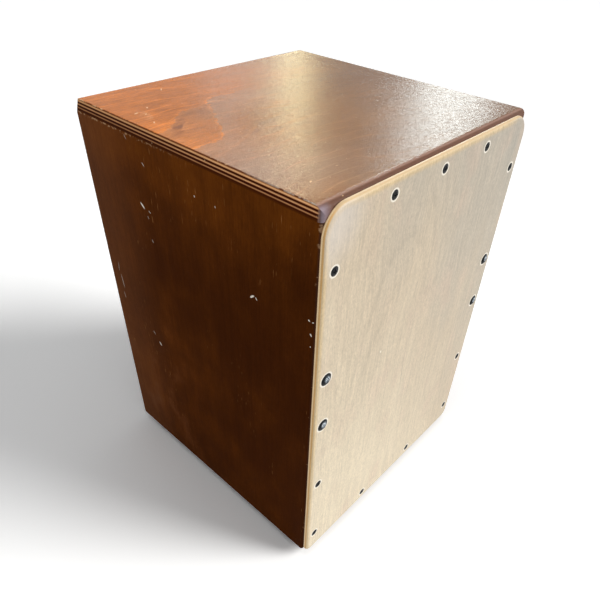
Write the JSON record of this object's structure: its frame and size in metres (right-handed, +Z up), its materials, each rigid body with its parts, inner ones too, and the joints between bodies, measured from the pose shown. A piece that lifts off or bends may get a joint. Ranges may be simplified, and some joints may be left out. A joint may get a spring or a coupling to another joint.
{
  "type": "cajon",
  "caption": "Box-shaped wooden hand drum with a thin screwed-on playing plate, snare wires behind it, a round sound hole at the rear and rubber feet.",
  "frame": {"origin": "Bottom centre of the bounding box, on the plane the feet stand on.", "axes": "+Z up; the playing plate faces -Y; +X is to the right as seen from the front."},
  "size_m": [0.3, 0.3162, 0.44],
  "materials": {
    "stained_ply": "satin stained plywood with pale plies at its edges",
    "birch_ply": "satin clear-finished birch plywood",
    "cleat_wood": "raw sawn softwood",
    "bar_ply": "raw plywood",
    "snare_steel": "plated steel",
    "zinc_steel": "zinc plated",
    "black_steel": "blackened, semi-gloss",
    "dark_steel": "blackened, glossy dome",
    "foot_rubber": "matte"
  },
  "bodies": {
    "root": {"top_panel": "stained_ply", "bottom_panel": "stained_ply", "left_side": "stained_ply", "right_side": "stained_ply", "rear_panel": "stained_ply", "front_plate": "birch_ply", "front_cleat_top": "cleat_wood", "front_cleat_bottom": "cleat_wood", "front_cleat_left": "cleat_wood", "front_cleat_right": "cleat_wood", "rear_cleat_top": "cleat_wood", "rear_cleat_bottom": "cleat_wood", "rear_cleat_left": "cleat_wood", "rear_cleat_right": "cleat_wood", "snare_bar": "bar_ply", "snare_clip_left": "snare_steel", "snare_clip_right": "snare_steel", "snare_wires_left": "snare_steel", "snare_wires_right": "snare_steel", "snare_clip_screws": "zinc_steel", "plate_screws_top": "black_steel", "plate_screws_bottom": "black_steel", "plate_screws_left": "black_steel", "plate_screws_right": "black_steel", "bar_screws_left": "dark_steel", "bar_screws_right": "dark_steel", "foot_front_left": "foot_rubber", "foot_front_right": "foot_rubber", "foot_rear_left": "foot_rubber", "foot_rear_right": "foot_rubber", "foot_washers": "zinc_steel", "foot_screws": "zinc_steel"}
  },
  "joints": []
}
